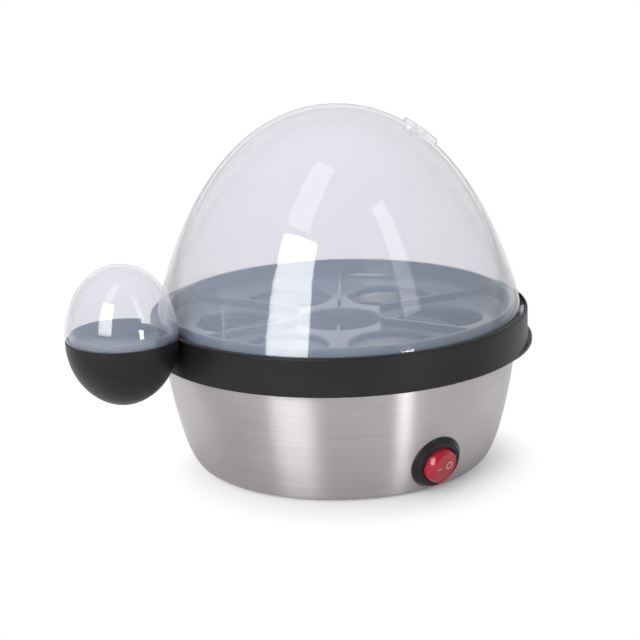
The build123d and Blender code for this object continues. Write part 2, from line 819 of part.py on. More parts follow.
# Tips of the blades, each plane's z axis pointing away from what the blade stands on
switch_tips = [
    Plane(
        origin=switch_plane.from_local_coords((shift, 0, -switch_depth - blade_length)),
        x_dir=switch_plane.y_dir,
        z_dir=switch_plane.z_dir * -1,
    )
    for shift in blade_shifts
]
thermostat_tips = [
    Plane(origin=(0, place, thermostat_bottom - blade_length), x_dir=(1, 0, 0), z_dir=(0, 0, -1))
    for place in (-thermostat_blades / 2, thermostat_blades / 2)
]
pin_tips = [
    Plane(origin=(place, end_y, end_z - pin_length - blade_length), x_dir=(1, 0, 0), z_dir=(0, 0, -1))
    for place in (-end_x, end_x)
]
tab_tip = Plane(
    origin=(tab_blade_x, tab_y, tab_plate_bottom - tab_drop),
    x_dir=(0, 1, 0),
    z_dir=(0, 0, -1),
)

# Push-on sleeves over the blades
with BuildPart() as push_on_sleeves:
    for tip in [*switch_tips, *thermostat_tips, *pin_tips, tab_tip]:
        with BuildSketch(tip.offset(-sleeve_overlap)):
            RectangleRounded(sleeve_width, sleeve_thickness, 0.7)
        extrude(amount=sleeve_length)
        with BuildSketch(tip.offset(-sleeve_overlap)):
            Rectangle(blade_width + 2 * sleeve_clearance, blade_thickness + 2 * sleeve_clearance)
        extrude(amount=sleeve_overlap + sleeve_clearance, mode=Mode.SUBTRACT)
push_on_sleeves.part.label = "push_on_sleeves"


def sleeve_mouth(tip, reach=0.0):
    """Point where a wire enters a sleeve, or further out along it."""
    return tip.from_local_coords((0, 0, sleeve_length - sleeve_overlap + reach))


def bend_radii(points):
    """Radius of each corner of a wire: as large as its two runs allow."""
    radii = []
    for before, corner, after in zip(points, points[1:], points[2:]):
        run_in = corner - before
        run_out = after - corner
        turn = radians(run_in.get_angle(run_out))
        radii.append(0.45 * min(run_in.length, run_out.length) / tan(turn / 2))
    return radii


# Routes of the wires, from end to end
block_front = block_place - block_width / 2
wire_circle = pi * wire_radius**2
fuse_ends = [fuse_section.from_local_coords((0, 0, side * fuse_length / 2)) for side in (-1, 1)]
neutral_way, lamp_way, earth_way, live_way = [Vector(way, block_front, way_height) for way in way_places]
into_block = Vector(0, block_width / 3, 0)
lead_routes = {
    "live_lead": [
        sleeve_mouth(switch_tips[0]),
        sleeve_mouth(switch_tips[0], 9),
        Vector(-9, -32, 19),
        Vector(-9, -18, 9.5),
        Vector(-1, -4, 6.5),
        Vector(9, 8, 6),
        live_way - Vector(0, 13, 0),
        live_way + into_block,
    ],
    "switch_lead": [
        sleeve_mouth(switch_tips[2]),
        sleeve_mouth(switch_tips[2], 9),
        Vector(11, -33, 25),
        Vector(9, -20, 18),
        Vector(2, -9, 14),
        sleeve_mouth(thermostat_tips[0], 9),
        sleeve_mouth(thermostat_tips[0]),
    ],
    "lamp_lead": [
        sleeve_mouth(switch_tips[1]),
        sleeve_mouth(switch_tips[1], 8),
        Vector(0.5, -35, 17),
        Vector(-2, -22, 6.5),
        Vector(-6, -6, 5.5),
        lamp_way - Vector(1, 22, 0),
        lamp_way - Vector(0, 10, 0),
        lamp_way + into_block,
    ],
    "neutral_lead": [
        sleeve_mouth(pin_tips[0]),
        sleeve_mouth(pin_tips[0], 5),
        Vector(-11, 27, 15.5),
        Vector(-12, 17, 16),
        Vector(-12, 9, 13),
        Vector(-11.5, 9, 8),
        neutral_way - Vector(0.5, 13, 0),
        neutral_way + into_block,
    ],
    "fuse_lead": [
        sleeve_mouth(thermostat_tips[1]),
        sleeve_mouth(thermostat_tips[1], 7),
        Vector(-6, 6, 15),
        Vector(-14, 0, 20),
        Vector(-15, -12, 30),
        Vector(-8, -24, 40),
        fuse_ends[0] + (fuse_ends[0] - fuse_ends[1]) * 0.55,
        fuse_ends[0],
    ],
    "element_lead": [
        fuse_ends[1],
        fuse_ends[1] + (fuse_ends[1] - fuse_ends[0]) * 0.45,
        Vector(-27, 9, 38),
        Vector(-22, 20, 29),
        Vector(-12, 25, 22),
        Vector(-2, 26, 17.5),
        Vector(6, 31, 16.5),
        sleeve_mouth(pin_tips[1], 5),
        sleeve_mouth(pin_tips[1]),
    ],
    "earth_lead": [
        sleeve_mouth(tab_tip),
        sleeve_mouth(tab_tip, 9),
        Vector(18, -8, 19),
        Vector(11, 2, 14),
        Vector(5.5, 11, 11.5),
        earth_way - Vector(0, 10, 0),
        earth_way + into_block,
    ],
}

# Wires inside the base, one solid each
leads = []
for lead_name, route in lead_routes.items():
    with BuildPart() as lead:
        with BuildLine():
            path = FilletPolyline(*route, radius=bend_radii(route))
        with BuildSketch(Plane(origin=path @ 0, z_dir=path % 0)):
            Circle(wire_radius)
        sweep()
    lead.part.label = lead_name
    leads.append(lead)
    print(lead_name, "radii", [round(radius, 1) for radius in bend_radii(route)],
          "volume", round(lead.part.volume / (wire_circle * path.length), 4))

# Carrier ring: band, rebate for the dome, shelf for the rack, and the side cup in one moulding
pod_plane = Plane(
    origin=(pod_x, pod_y, 0),
    x_dir=(cos(radians(carrier_turn)), sin(radians(carrier_turn)), 0),
    z_dir=(sin(radians(carrier_turn)), -cos(radians(carrier_turn)), 0),
)
pod_axis = Axis((pod_x, pod_y, 0), (0, 0, 1))
inner_wall_out = rack_bore + ring_inner_wall
web_bottom = dome_seat - ring_top_web
lip_offset = ring_radius + lip_reach - lip_radius
cup_lip_out = pod_lid_radius - pod_lid_wall - pod_lid_gap
cup_lip_in = cup_lip_out - cup_lip_wall
pocket_starts = [turn - pocket_lead for turn in (lug_turn, lug_turn + lug_spacing)]
with BuildPart() as carrier_ring:
    with BuildSketch(Plane.XZ) as band:
        with BuildLine():
            Polyline(
                (ring_radius, ring_bottom),
                (ring_radius, ring_top),
                (dome_seat_radius, ring_top),
                (dome_seat_radius, dome_seat),
                (rack_bore, dome_seat),
                (rack_bore, shelf_top),
                (shelf_reach, shelf_top),
                (shelf_reach, shelf_bottom),
                (inner_wall_out, shelf_bottom),
                (inner_wall_out, web_bottom),
                (ring_radius - ring_wall, web_bottom),
                (ring_radius - ring_wall, ring_bottom),
                close=True,
            )
        make_face()
        fillet(band.vertices().sort_by(Axis.X)[-2:], radius=ring_edge)
    revolve(axis=Axis.Z)
    with BuildSketch(Plane.XY.offset(ring_bottom)):
        with Locations((-lip_offset * cos(radians(carrier_turn)), -lip_offset * sin(radians(carrier_turn)))):
            Circle(lip_radius)
        Circle(ring_radius - ring_wall, mode=Mode.SUBTRACT)
    extrude(amount=lip_thickness)
    with BuildSketch(pod_plane):
        with BuildLine():
            cup_side = cup_curve(0)
            Polyline(cup_side @ 1, (0, cup_rim), cup_side @ 0)
        make_face()
    revolve(axis=pod_axis)
    with BuildSketch(pod_plane):
        with BuildLine():
            cup_inside = Bezier(
                (cup_lip_in, cup_rim),
                (cup_radius + cup_swell - cup_wall, cup_rim - cup_belly_drop),
                (cup_bottom_reach - cup_wall / 2, cup_rim - cup_depth + cup_wall),
                (0, cup_rim - cup_depth + cup_wall),
            )
            Polyline(cup_inside @ 1, (0, cup_rim), cup_inside @ 0)
        make_face()
    revolve(axis=pod_axis, mode=Mode.SUBTRACT)
    with BuildSketch(Plane.XY.offset(dome_seat)):
        Circle(dome_seat_radius)
    extrude(amount=cup_rim - dome_seat, mode=Mode.SUBTRACT)
    with BuildSketch(Plane(origin=(pod_x, pod_y, cup_rim))):
        Circle(cup_lip_out)
        Circle(cup_lip_in, mode=Mode.SUBTRACT)
        gap_start = carrier_turn + 180 - cup_lip_gap_angle / 2
        Polygon(*sector(cup_radius, gap_start, cup_lip_gap_angle), align=None, mode=Mode.SUBTRACT)
    extrude(amount=cup_lip_height)
    for pocket_start in pocket_starts:
        with BuildSketch(Plane.XY.offset(ring_top - pocket_depth)):
            Circle(dome_seat_radius + pocket_reach)
            Circle(dome_radius, mode=Mode.SUBTRACT)
            Polygon(*sector(ring_radius, pocket_start, pocket_angle), align=None, mode=Mode.INTERSECT)
        extrude(amount=pocket_depth, mode=Mode.SUBTRACT)
carrier_ring.part.label = "carrier_ring"

# Egg rack: a dished tray with seven seats, ribs between them and hooks under the shelf
seat_places = [(0, 0)] + on_circle(seat_circle, seat_turns)
rib_end = rack_radius - rack_wall / 2
rib_middle = (rib_start + rib_end) / 2
hook_radius = shelf_reach - hook_gap - hook_thickness / 2
with BuildPart() as egg_rack:
    with BuildSketch(Plane.XZ) as tray:
        with BuildLine():
            Polyline(
                (0, shelf_top),
                (rack_radius, shelf_top),
                (rack_radius, ring_top + rack_rise),
                (rack_radius - rack_wall, ring_top + rack_rise),
                (rack_radius - rack_wall, rack_floor_top),
                (0, rack_floor_top),
                close=True,
            )
        make_face()
        fillet(tray.vertices().group_by(Axis.Y)[-1], radius=rack_wall / 3)
        fillet(tray.vertices().group_by(Axis.Y)[1].sort_by(Axis.X)[-1], radius=rack_wall)
    revolve(axis=Axis.Z)
    with BuildSketch(Plane.XY.offset(shelf_top)):
        with Locations(*seat_places):
            Circle(seat_radius + seat_collar_wall)
    extrude(amount=-seat_collar_depth)
    with BuildSketch(Plane.XY.offset(rack_floor_top)):
        with PolarLocations(rib_middle, outer_seats, start_angle=carrier_turn):
            Rectangle(rib_end - rib_start, rib_thickness)
    extrude(amount=rib_height)
    with BuildSketch(Plane.XY.offset(rack_floor_top)):
        with Locations(*seat_places):
            Circle(seat_radius)
    extrude(amount=-rack_floor - seat_collar_depth, mode=Mode.SUBTRACT)
    seat_edges = egg_rack.edges().filter_by(GeomType.CIRCLE)
    seat_edges = seat_edges.filter_by(lambda edge: abs(edge.radius - seat_radius) < 0.01)
    chamfer(seat_edges.group_by(Axis.Z)[-1], length=seat_chamfer)
    with BuildSketch(Plane.XY.offset(shelf_top)):
        with PolarLocations(hook_radius, hook_count, start_angle=carrier_turn):
            Rectangle(hook_thickness, hook_width)
    extrude(amount=-shelf_thickness - hook_gap / 2 - hook_nib_height)
    with BuildSketch(Plane.XY.offset(shelf_bottom - hook_gap / 2)):
        with PolarLocations(hook_radius + hook_nib, hook_count, start_angle=carrier_turn):
            Rectangle(hook_thickness, hook_width)
    extrude(amount=-hook_nib_height)
egg_rack.part.label = "egg_rack"

# Vent hood of the dome as a full form, from the dome's side outwards
with BuildPart() as hood_form:
    with BuildSketch(Plane.XZ):
        with BuildLine():
            hood_out = dome_curve(hood_rise)
            hood_in = dome_curve(-dome_wall / 2)
            Line(hood_out @ 1, hood_in @ 1)
            Line(hood_out @ 0, hood_in @ 0)
        make_face()
    revolve(axis=Axis.Z)
    with BuildSketch(hood_plane.offset(-hood_length / 2)):
        RectangleRounded(hood_width, hood_length, 3.0)
    extrude(amount=hood_length, mode=Mode.INTERSECT)

# Dome: an egg-shaped shell with a straight rim, two locating lugs and a raised steam vent
with BuildPart() as dome_lid:
    with BuildSketch(Plane.XZ):
        with BuildLine():
            dome_out = dome_curve(0)
            dome_in = dome_curve(-dome_wall)
            Line(dome_out @ 1, dome_in @ 1)
            dome_foot = [(dome_radius - dome_wall, dome_seat), (dome_radius, dome_seat)]
            Polyline(dome_in @ 0, *dome_foot, dome_out @ 0)
        make_face()
    revolve(axis=Axis.Z)
    add(hood_form.part)
    with BuildSketch(hood_plane.offset(-hood_length / 2)):
        with GridLocations(vent_hole_pitch, vent_hole_pitch, 3, 2):
            Circle(vent_hole_radius)
    extrude(amount=hood_length, mode=Mode.SUBTRACT)
    for turn in (lug_turn, lug_turn + lug_spacing):
        with BuildSketch(Plane.XY.offset(ring_top - pocket_depth + lug_lift)):
            Circle(dome_radius + lug_reach)
            Circle(dome_radius - dome_wall / 2, mode=Mode.SUBTRACT)
            Polygon(*sector(ring_radius, turn - lug_angle / 2, lug_angle), align=None, mode=Mode.INTERSECT)
        extrude(amount=lug_height)
dome_lid.part.label = "dome_lid"

# Small clear lid of the egg cup
with BuildPart() as cup_lid:
    with BuildSketch(pod_plane):
        with BuildLine():
            lid_out = pod_lid_curve(0)
            lid_in = pod_lid_curve(-pod_lid_wall)
            Line(lid_out @ 1, lid_in @ 1)
            Line(lid_in @ 0, lid_out @ 0)
        make_face()
    revolve(axis=pod_axis)
cup_lid.part.label = "cup_lid"

pieces = [
    bowl_shell, base_cover, rubber_feet, pan_pillars, base_screws, pan_seal, heating_pan, heat_spreader,
    heating_element, element_pins, thermostat, thermostat_screws, thermal_fuse, fuse_clip, earth_tab,
    earth_screw, switch_escutcheon, switch_housing, switch_terminals, neon_lamp, rocker, cord_gland,
    gland_nut, terminal_block, terminal_screws, push_on_sleeves, *leads, carrier_ring, egg_rack,
    dome_lid, cup_lid,
]
for piece in pieces:
    export_step(piece.part, f"parts/{piece.part.label}.step")
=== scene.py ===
import math

import bmesh
import bpy
from mathutils import Matrix, Vector
from mathutils.bvhtree import BVHTree


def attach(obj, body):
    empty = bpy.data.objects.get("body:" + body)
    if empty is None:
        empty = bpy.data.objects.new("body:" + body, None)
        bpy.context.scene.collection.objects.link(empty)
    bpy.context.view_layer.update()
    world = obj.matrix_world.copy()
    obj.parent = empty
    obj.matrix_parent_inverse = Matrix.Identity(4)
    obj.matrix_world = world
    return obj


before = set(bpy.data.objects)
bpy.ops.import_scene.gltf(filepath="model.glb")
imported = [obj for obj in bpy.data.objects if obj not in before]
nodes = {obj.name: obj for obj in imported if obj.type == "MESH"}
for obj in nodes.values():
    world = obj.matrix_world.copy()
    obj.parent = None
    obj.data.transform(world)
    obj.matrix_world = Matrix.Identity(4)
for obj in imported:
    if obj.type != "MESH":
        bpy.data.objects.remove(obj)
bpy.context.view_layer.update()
print("egg cooker loaded,", len(nodes), "pieces")


class Wire:
    # one output of a shader tree; sums, products and powers of wires add Math nodes
    def __init__(self, tree, socket):
        self.tree, self.socket = tree, socket

    def maths(self, operation, first, second):
        return self.tree.add("Math", {"operation": operation}, {0: first, 1: second})

    def __add__(self, other):
        return self.maths("ADD", self, other)

    def __sub__(self, other):
        return self.maths("SUBTRACT", self, other)

    def __rsub__(self, other):
        return self.maths("SUBTRACT", other, self)

    def __mul__(self, other):
        return self.maths("MULTIPLY", self, other)

    def __pow__(self, other):
        return self.maths("POWER", self, other)

    __radd__ = __add__
    __rmul__ = __mul__


class ShaderTree:
    def __init__(self, owner, outputKind="OutputMaterial"):
        owner.use_nodes = True
        self.nodes, self.links = owner.node_tree.nodes, owner.node_tree.links
        self.nodes.clear()
        self.outputKind = outputKind

    # any node: its type, the settings made first, then values or wires for its inputs
    def add(self, kind, settings=None, inputs=None, output=0):
        made = self.nodes.new("ShaderNode" + kind)
        for name, value in (settings or {}).items():
            setattr(made, name, value)
        for name, value in (inputs or {}).items():
            socket = made.inputs[name]
            if isinstance(value, Wire):
                self.links.new(value.socket, socket)
            else:
                socket.default_value = (*value, 1.0) if socket.type == "RGBA" else value
        return Wire(self, made.outputs[output])

    def place(self):
        return self.add("TexCoord", output="Object")

    # how far the surface faces up, from -1 to 1
    def upward(self):
        return self.add("SeparateXYZ", {}, {0: self.add("TexCoord", output="Normal")}, "Z")

    # 1 for one kind of ray, such as Camera or Glossy, and 0 for the others
    def ray(self, kind):
        return self.add("LightPath", output="Is " + kind + " Ray")

    # noise from 0 to 1; grains counts its grains per metre, the same all ways or along x, y and z
    def noise(self, grains, detail=3.0, rough=0.55):
        scale = grains if isinstance(grains, tuple) else (grains,) * 3
        spread = self.add("Mapping", {}, {"Vector": self.place(), "Scale": scale})
        return self.add("TexNoise", {}, {
            "Vector": spread, "Scale": 1.0, "Detail": detail, "Roughness": rough})

    # a noise's swing about its middle, as wide as the span
    def swing(self, noise, span):
        return (noise - 0.5) * span

    # 0 at the first value, 1 at the second, and never beyond
    def fade(self, value, start, end):
        return self.add("MapRange", {}, {"Value": value, "From Min": start, "From Max": end})

    def blend(self, share, first, second):
        return self.add("Mix", {"data_type": "RGBA"}, {0: share, 6: first, 7: second}, 2)

    # two shades, parted over the middle band where most of a noise lies
    def mottle(self, noise, first, second):
        return self.blend(self.fade(noise, 0.3, 0.7), first, second)

    def bump(self, height, depth):
        return self.add("Bump", {}, {"Height": height, "Distance": depth})

    def finish(self, shader):
        output = self.nodes.new("ShaderNode" + self.outputKind)
        self.links.new(shader.socket, output.inputs["Surface"])


finishes = {}


def newFinish(name):
    finishes[name] = bpy.data.materials.new(name + "_finish")
    return ShaderTree(finishes[name])


# brushed or spun metal; the lines run round the upright axis of the cooker
def makeSpunMetal(name, look):
    wear = {"clouds": (28.0, 28.0, 34.0), "cloudBand": (0.35, 0.75), "cloudRoughness": 0.12,
            "broadAcross": 0.18,
            "scratchAlong": 9.0, "scratchAcross": 0.6, "scratchBand": (0.68, 0.74)}
    relief = {"lines": 0.7, "broadLines": 0.5, "scratches": 0.25}
    along, across = look["along"], look["across"]
    tree = newFinish(name)
    lines = tree.noise((along, along, across), detail=4.0, rough=0.6)
    broadLines = tree.noise((along, along, across * wear["broadAcross"]), detail=2.0)
    clouds = tree.noise(wear["clouds"], detail=4.0, rough=0.6)
    scratchGrains = (wear["scratchAlong"], wear["scratchAlong"], across * wear["scratchAcross"])
    scratches = tree.fade(tree.noise(scratchGrains, detail=1.0), *wear["scratchBand"])
    shade = tree.mottle(lines, look["dark"], look["light"])
    stained = tree.fade(clouds, *wear["cloudBand"]) * look["clouds"]
    roughness = (look["roughness"] + tree.swing(lines, look["roughSpread"])
                 + tree.swing(clouds, wear["cloudRoughness"]))
    height = (lines * relief["lines"] + broadLines * relief["broadLines"]
              - scratches * relief["scratches"])
    tree.finish(tree.add("BsdfPrincipled", {}, {
        "Base Color": tree.blend(stained, shade, look["stain"]), "Metallic": 1.0,
        "Roughness": roughness, "Anisotropic": look["anisotropy"],
        "Anisotropic Rotation": 0.25,  # a quarter turn: the lines lie level
        "Normal": tree.bump(height, look["depth"])}))


# rolled, plated or cast metal without a direction
def makePlainMetal(name, look):
    wear = {"blotches": 70.0, "blotchBand": (0.45, 0.8),
            "grainRoughness": 0.14, "blotchRoughness": 0.2}
    tree = newFinish(name)
    grain = tree.noise(look["grain"], detail=4.0, rough=0.6)
    blotches = tree.noise(wear["blotches"])
    shade = tree.mottle(grain, look["dark"], look["light"])
    aged = tree.fade(blotches, *wear["blotchBand"]) * look["age"]
    roughness = (look["roughness"] + tree.swing(grain, wear["grainRoughness"])
                 + tree.swing(blotches, wear["blotchRoughness"]))
    tree.finish(tree.add("BsdfPrincipled", {}, {
        "Base Color": tree.blend(aged, shade, look["stain"]), "Metallic": 1.0,
        "Roughness": roughness, "Normal": tree.bump(grain, look["depth"])}))


# moulded plastic or rubber: eroded grain of the mould, flow marks and a little dust;
# where a look has a painted top sheen, flat upward faces get a paler colour: a painted reflection
# of the bright room
def makeMoulded(name, look):
    wear = {"flow": (26.0, 26.0, 60.0), "flowRoughness": 0.16,
            "specks": 1500.0, "speckBand": (0.72, 0.80), "dustColour": (0.32, 0.31, 0.30),
            # the first three here shape the painted reflection, a paler colour on flat upward faces
            "flatTop": (0.90, 0.99), "paintedSheenLeast": 0.7, "paintedSheenFlow": 0.3, "glowDepth": 0.002}
    tree = newFinish(name)
    grain = tree.noise(look["grain"], detail=2.0)
    flow = tree.noise(wear["flow"], rough=0.6)
    specks = tree.fade(tree.noise(wear["specks"], detail=1.0), *wear["speckBand"])
    shade = tree.mottle(flow, look["dark"], look["light"])
    # painted reflection: flat upward faces are painted a paler shade, standing in for the bright
    # room they mirror
    if "paintedTopSheen" in look:
        flatTop = tree.fade(tree.upward(), *wear["flatTop"])
        paintedSheenShare = flatTop * (wear["paintedSheenLeast"] + flow * wear["paintedSheenFlow"])
        shade = tree.blend(paintedSheenShare, shade, look["paintedTopSheen"])
    dustColour = look.get("dustColour", wear["dustColour"])
    roughness = (look["roughness"] + tree.swing(grain, look["roughSpread"])
                 + tree.swing(flow, wear["flowRoughness"]))
    tree.finish(tree.add("BsdfPrincipled", {}, {
        "Base Color": tree.blend(specks * look["dust"], shade, dustColour),
        "Roughness": roughness, "Specular IOR Level": look["gloss"],
        "Subsurface Weight": look.get("glow", 0.0), "Subsurface Scale": wear["glowDepth"],
        "Normal": tree.bump(grain, look["depth"])}))


spunMetals = {
    "brushed_bowl": {
        "dark": (0.45, 0.428, 0.430), "light": (0.60, 0.575, 0.578), "stain": (0.45, 0.40, 0.395),
        "clouds": 0.35, "along": 11.0, "across": 4200.0, "roughness": 0.33, "roughSpread": 0.08,
        "anisotropy": 1.0, "depth": 0.00001},
    "pan_steel": {
        "dark": (0.56, 0.55, 0.54), "light": (0.68, 0.67, 0.66), "stain": (0.62, 0.59, 0.53),
        "clouds": 0.5, "along": 22.0, "across": 1400.0, "roughness": 0.24, "roughSpread": 0.14,
        "anisotropy": 0.4, "depth": 0.00003},
}
for name, look in spunMetals.items():
    makeSpunMetal(name, look)

plainMetals = {
    "zinc_steel": {
        "dark": (0.50, 0.51, 0.53), "light": (0.66, 0.67, 0.69), "stain": (0.45, 0.43, 0.36),
        "age": 0.35, "grain": 1800.0, "roughness": 0.34, "depth": 0.00003},
    "spreader_aluminium": {
        "dark": (0.60, 0.60, 0.61), "light": (0.74, 0.74, 0.75), "stain": (0.42, 0.40, 0.38),
        "age": 0.4, "grain": 1200.0, "roughness": 0.48, "depth": 0.00006},
    "element_tube": {
        "dark": (0.16, 0.14, 0.13), "light": (0.30, 0.27, 0.25), "stain": (0.22, 0.13, 0.08),
        "age": 0.6, "grain": 2200.0, "roughness": 0.52, "depth": 0.00003},
    "tab_brass": {
        "dark": (0.62, 0.56, 0.40), "light": (0.74, 0.69, 0.55), "stain": (0.40, 0.30, 0.16),
        "age": 0.4, "grain": 1600.0, "roughness": 0.36, "depth": 0.00002},
}
for name, look in plainMetals.items():
    makePlainMetal(name, look)

mouldedPlastics = {
    "ring_black": {
        "dark": (0.009, 0.008, 0.0085), "light": (0.015, 0.013, 0.014), "dust": 0.05,
        "grain": 3200.0, "roughness": 0.40, "roughSpread": 0.16, "gloss": 0.22, "depth": 0.00005},
    "rack_black": {
        "dark": (0.018, 0.032, 0.050), "light": (0.027, 0.044, 0.066), "dust": 0.2,
        # a painted reflection: the pale colour painted on the rack's flat tops
        "paintedTopSheen": (0.14, 0.155, 0.175),
        "grain": 2400.0, "roughness": 0.15, "roughSpread": 0.06, "gloss": 0.85, "depth": 0.00001},
    "base_plastic": {
        "dark": (0.016, 0.016, 0.017), "light": (0.026, 0.026, 0.027), "dust": 0.5,
        "grain": 2000.0, "roughness": 0.55, "roughSpread": 0.2, "gloss": 0.4, "depth": 0.00008},
    "switch_black": {
        "dark": (0.009, 0.008, 0.009), "light": (0.014, 0.013, 0.014), "dust": 0.1,
        "grain": 4200.0, "roughness": 0.30, "roughSpread": 0.12, "gloss": 0.3, "depth": 0.00002},
    "foot_rubber": {
        "dark": (0.020, 0.020, 0.021), "light": (0.034, 0.033, 0.033), "dust": 0.7,
        "grain": 2600.0, "roughness": 0.82, "roughSpread": 0.16, "gloss": 0.3, "depth": 0.00008},
    "thermostat_body": {
        "dark": (0.045, 0.026, 0.016), "light": (0.070, 0.042, 0.026), "dust": 0.4,
        "grain": 2200.0, "roughness": 0.38, "roughSpread": 0.2, "gloss": 0.5, "depth": 0.00004},
    "fuse_case": {
        "dark": (0.66, 0.65, 0.61), "light": (0.80, 0.79, 0.76), "dust": 0.3,
        "dustColour": (0.5, 0.42, 0.3),
        "grain": 1500.0, "roughness": 0.62, "roughSpread": 0.2, "gloss": 0.4, "depth": 0.0001},
    "block_plastic": {
        "dark": (0.70, 0.68, 0.61), "light": (0.82, 0.80, 0.74), "dust": 0.3,
        "dustColour": (0.5, 0.45, 0.38), "glow": 0.15,
        "grain": 2200.0, "roughness": 0.45, "roughSpread": 0.16, "gloss": 0.5, "depth": 0.00004},
    "sleeve_nylon": {
        "dark": (0.72, 0.72, 0.68), "light": (0.83, 0.83, 0.80), "dust": 0.25,
        "dustColour": (0.5, 0.45, 0.38), "glow": 0.15,
        "grain": 2600.0, "roughness": 0.40, "roughSpread": 0.16, "gloss": 0.5, "depth": 0.00003},
    "silicone": {
        "dark": (0.46, 0.46, 0.45), "light": (0.56, 0.56, 0.55), "dust": 0.4,
        "dustColour": (0.6, 0.58, 0.54), "glow": 0.25,
        "grain": 1800.0, "roughness": 0.50, "roughSpread": 0.2, "gloss": 0.4, "depth": 0.00004},
    "wire_brown": {
        "dark": (0.085, 0.035, 0.016), "light": (0.13, 0.055, 0.026), "dust": 0.3,
        "grain": 2600.0, "roughness": 0.38, "roughSpread": 0.14, "gloss": 0.5, "depth": 0.00003},
    "wire_blue": {
        "dark": (0.022, 0.075, 0.27), "light": (0.036, 0.115, 0.38), "dust": 0.3,
        "grain": 2600.0, "roughness": 0.38, "roughSpread": 0.14, "gloss": 0.5, "depth": 0.00003},
}
for name, look in mouldedPlastics.items():
    makeMoulded(name, look)


# green insulation with a yellow stripe along its upper side
def makeEarthWire():
    look = {"green": (0.035, 0.22, 0.05), "yellow": (0.75, 0.58, 0.03), "grain": 2600.0,
            "stripeEdge": (0.30, 0.36), "stripeWander": 0.1,
            "roughness": 0.38, "roughSpread": 0.16, "depth": 0.00003}
    tree = newFinish("wire_green")
    side = tree.upward()
    grain = tree.noise(look["grain"], detail=2.0)
    stripe = tree.fade(side + tree.swing(grain, look["stripeWander"]), *look["stripeEdge"])
    tree.finish(tree.add("BsdfPrincipled", {}, {
        "Base Color": tree.blend(stripe, look["green"], look["yellow"]),
        "Roughness": look["roughness"] + tree.swing(grain, look["roughSpread"]),
        "Normal": tree.bump(grain, look["depth"])}))


# clear plastic with a faint milky cast, glossier at a glancing angle; thin hairlines from wiping
def makeClearPlastic():
    look = {"tint": (1.0, 0.972, 0.962), "milk": (0.67, 0.80, 1.0), "gloss": (1.0, 1.0, 1.0),
            "haze": 0.14, "edgeHaze": -0.04, "flowHaze": 0.03, "wipedHaze": 0.012,
            "speckHaze": 0.10, "mirror": 0.044,
            "roughness": 0.045, "flowRoughness": 0.03, "hairlines": 0.10,
            "flow": (22.0, 22.0, 14.0), "waves": 0.00025, "wiping": (60.0, 60.0, 900.0),
            "wipedBand": (0.66, 0.80), "specks": 1100.0, "speckBand": (0.735, 0.76),
            "edgePower": 3.0, "mirrorPower": 5.0}
    tree = newFinish("clear_plastic")
    flow = tree.noise(look["flow"])
    wiped = tree.fade(tree.noise(look["wiping"], detail=2.0), *look["wipedBand"])
    specks = tree.fade(tree.noise(look["specks"], detail=1.0), *look["speckBand"])
    waves = tree.bump(flow, look["waves"])
    facing = tree.add("LayerWeight", {}, {"Blend": 0.5, "Normal": waves}, "Facing")
    haze = (look["haze"] + tree.swing(flow, look["flowHaze"]) + wiped * look["wipedHaze"]
            + specks * look["speckHaze"] + facing ** look["edgePower"] * look["edgeHaze"])
    roughness = (look["roughness"] + tree.swing(flow, look["flowRoughness"])
                 + wiped * look["hairlines"])
    clear = tree.add("BsdfTransparent", {}, {"Color": look["tint"]})
    milk = tree.add("BsdfDiffuse", {}, {"Color": look["milk"]})
    body = tree.add("MixShader", {}, {0: haze, 1: clear, 2: milk})
    shine = tree.add("BsdfGlossy", {}, {
        "Color": look["gloss"], "Roughness": roughness, "Normal": waves})
    mirrored = look["mirror"] + facing ** look["mirrorPower"] * (1.0 - look["mirror"])
    tree.finish(tree.add("MixShader", {}, {0: mirrored, 1: body, 2: shine}))


# red see-through plastic of the lit rocker, in two depths of red and rubbed paler in places
def makeRockerRed():
    look = {"deep": (0.30, 0.002, 0.012), "face": (0.46, 0.004, 0.026), "flow": 240.0,
            "rubbed": (0.75, 0.16, 0.16), "rubbedShare": 0.2, "rubbedRoughness": 0.12,
            "rubbing": (700.0, 260.0, 260.0), "rubbedBand": (0.62, 0.8),
            "grain": 2400.0, "roughness": 0.16, "roughSpread": 0.08, "depth": 0.00002}
    tree = newFinish("rocker_red")
    grain = tree.noise(look["grain"], detail=2.0)
    flow = tree.noise(look["flow"])
    rubbed = tree.fade(tree.noise(look["rubbing"], detail=2.0), *look["rubbedBand"])
    colour = tree.mottle(flow, look["deep"], look["face"])
    tree.finish(tree.add("BsdfPrincipled", {}, {
        "Base Color": tree.blend(rubbed * look["rubbedShare"], colour, look["rubbed"]),
        "Roughness": (look["roughness"] + tree.swing(grain, look["roughSpread"])
                      + rubbed * look["rubbedRoughness"]),
        "Subsurface Weight": 0.30, "Subsurface Scale": 0.004,
        "Subsurface Radius": (1.0, 0.08, 0.06),
        "Specular IOR Level": 0.5, "Coat Weight": 0.12, "Coat Roughness": 0.08,
        "Normal": tree.bump(grain, look["depth"])}))


# pale print of the I and O marks, worn in spots
def makeMarkPrint():
    look = {"print": (0.86, 0.62, 0.62), "worn": (0.70, 0.22, 0.24), "wornShare": 0.6,
            "wear": 2600.0, "wearBand": (0.5, 0.75),
            "roughness": 0.35, "roughSpread": 0.2, "depth": 0.00001}
    tree = newFinish("mark_print")
    wear = tree.fade(tree.noise(look["wear"]), *look["wearBand"])
    tree.finish(tree.add("BsdfPrincipled", {}, {
        "Base Color": tree.blend(wear * look["wornShare"], look["print"], look["worn"]),
        "Roughness": look["roughness"] + wear * look["roughSpread"],
        "Normal": tree.bump(wear, look["depth"])}))


